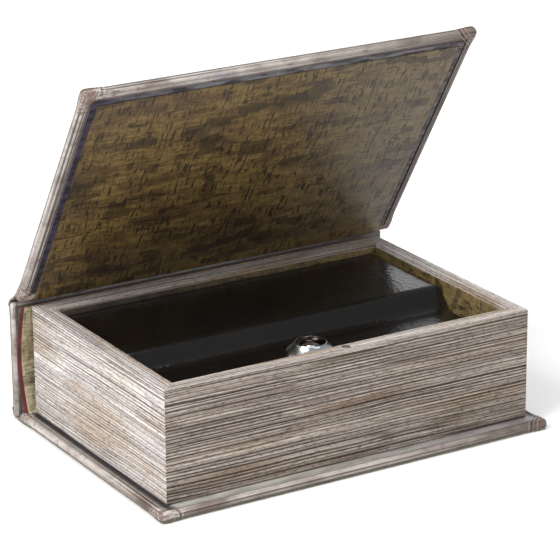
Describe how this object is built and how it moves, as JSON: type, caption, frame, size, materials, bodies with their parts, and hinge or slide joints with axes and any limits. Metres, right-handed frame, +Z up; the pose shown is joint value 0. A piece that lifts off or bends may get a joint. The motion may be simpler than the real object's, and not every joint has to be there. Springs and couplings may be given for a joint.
{
  "type": "book safe",
  "caption": "Hollow dummy book with a hinged cover and spine, holding a steel strongbox with a stepped hinged lid and a key-operated cam lock.",
  "frame": {"origin": "on the underside of the back cover, under the middle of the page block", "axes": "+X along the spine, -Y towards the fore-edge where the lock is, +Y towards the spine, +Z up out of the page block"},
  "size_m": [0.184, 0.1316, 0.161],
  "materials": {
    "printed_cover_paper": "matt litho-printed paper over greyboard, worn vintage print",
    "page_edge_print": "fibreboard covered with paper printed as page edges",
    "wood_print_paper": "satin paper printed as weathered ochre wood",
    "red_hinge_cloth": "woven book cloth, matt",
    "black_enamel": "gloss black enamel with slight orange peel",
    "zinc_plated_steel": "bright zinc plate",
    "chrome": "bright chrome plate",
    "brass": "machined brass",
    "fibreboard": "raw hardboard"
  },
  "bodies": {
    "base": {"back_cover_board": "printed_cover_paper", "lower_joint_strip": "printed_cover_paper", "page_block_front": "page_edge_print", "page_block_right": "page_edge_print", "page_block_back": "page_edge_print", "page_block_left": "page_edge_print", "page_block_floor": "fibreboard", "lining_front": "wood_print_paper", "lining_back": "wood_print_paper", "lining_left": "wood_print_paper", "lining_right": "wood_print_paper", "rim_magnet": "zinc_plated_steel", "strongbox_tray": "black_enamel", "tray_screw_1": "zinc_plated_steel", "tray_screw_2": "zinc_plated_steel", "tray_screw_3": "zinc_plated_steel", "tray_screw_4": "zinc_plated_steel", "strike_lip": "black_enamel", "hinge_bracket_left": "black_enamel", "hinge_bracket_right": "black_enamel", "hinge_pin_left": "zinc_plated_steel", "hinge_pin_right": "zinc_plated_steel"},
    "spine": {"spine_board": "printed_cover_paper", "spine_lining": "wood_print_paper", "spine_hinge_cloth": "red_hinge_cloth", "upper_joint_strip": "printed_cover_paper"},
    "front_cover": {"front_cover_board": "printed_cover_paper", "front_endpaper": "wood_print_paper", "cover_keeper": "zinc_plated_steel"},
    "steel_lid": {"steel_lid": "black_enamel", "hinge_leaf_left": "black_enamel", "hinge_leaf_right": "black_enamel", "lock_cap": "chrome", "lock_housing": "zinc_plated_steel", "spur_washer": "zinc_plated_steel", "lock_nut": "zinc_plated_steel"},
    "lock_plug": {"lock_plug": "chrome", "lock_cam": "zinc_plated_steel", "cam_screw": "zinc_plated_steel"},
    "wafers_front": {"wafer_1": "brass", "wafer_3": "brass"},
    "wafers_back": {"wafer_2": "brass", "wafer_4": "brass"}
  },
  "joints": [
    {"name": "spine_hinge", "type": "hinge", "parent": "base", "child": "spine", "pos_m": [0, 0.0671, 0.0003], "axis": [-1, 0, 0], "range_deg": [0, 90]},
    {"name": "cover_hinge", "type": "hinge", "parent": "spine", "child": "front_cover", "pos_m": [0, 0.0604, 0.0562], "axis": [-1, 0, 0], "range_deg": [-57.5, 34]},
    {"name": "steel_lid_hinge", "type": "hinge", "parent": "base", "child": "steel_lid", "pos_m": [0, 0.041, 0.0455], "axis": [-1, 0, 0], "range_deg": [0, 60]},
    {"name": "lock_turn", "type": "hinge", "parent": "steel_lid", "child": "lock_plug", "pos_m": [-0.002, -0.028, 0.035], "axis": [0, 0, -1], "range_deg": [0, 90]},
    {"name": "wafer_slide", "type": "slide", "parent": "lock_plug", "child": "wafers_front", "axis": [0, -1, 0], "range_m": [0, 0.0007]},
    {"name": "wafer_slide_back", "type": "slide", "parent": "lock_plug", "child": "wafers_back", "axis": [0, 1, 0], "range_m": [0, 0.0007]}
  ],
  "couplings": [
    {"joint": "wafer_slide_back", "follows": "wafer_slide", "ratio": 1}
  ]
}
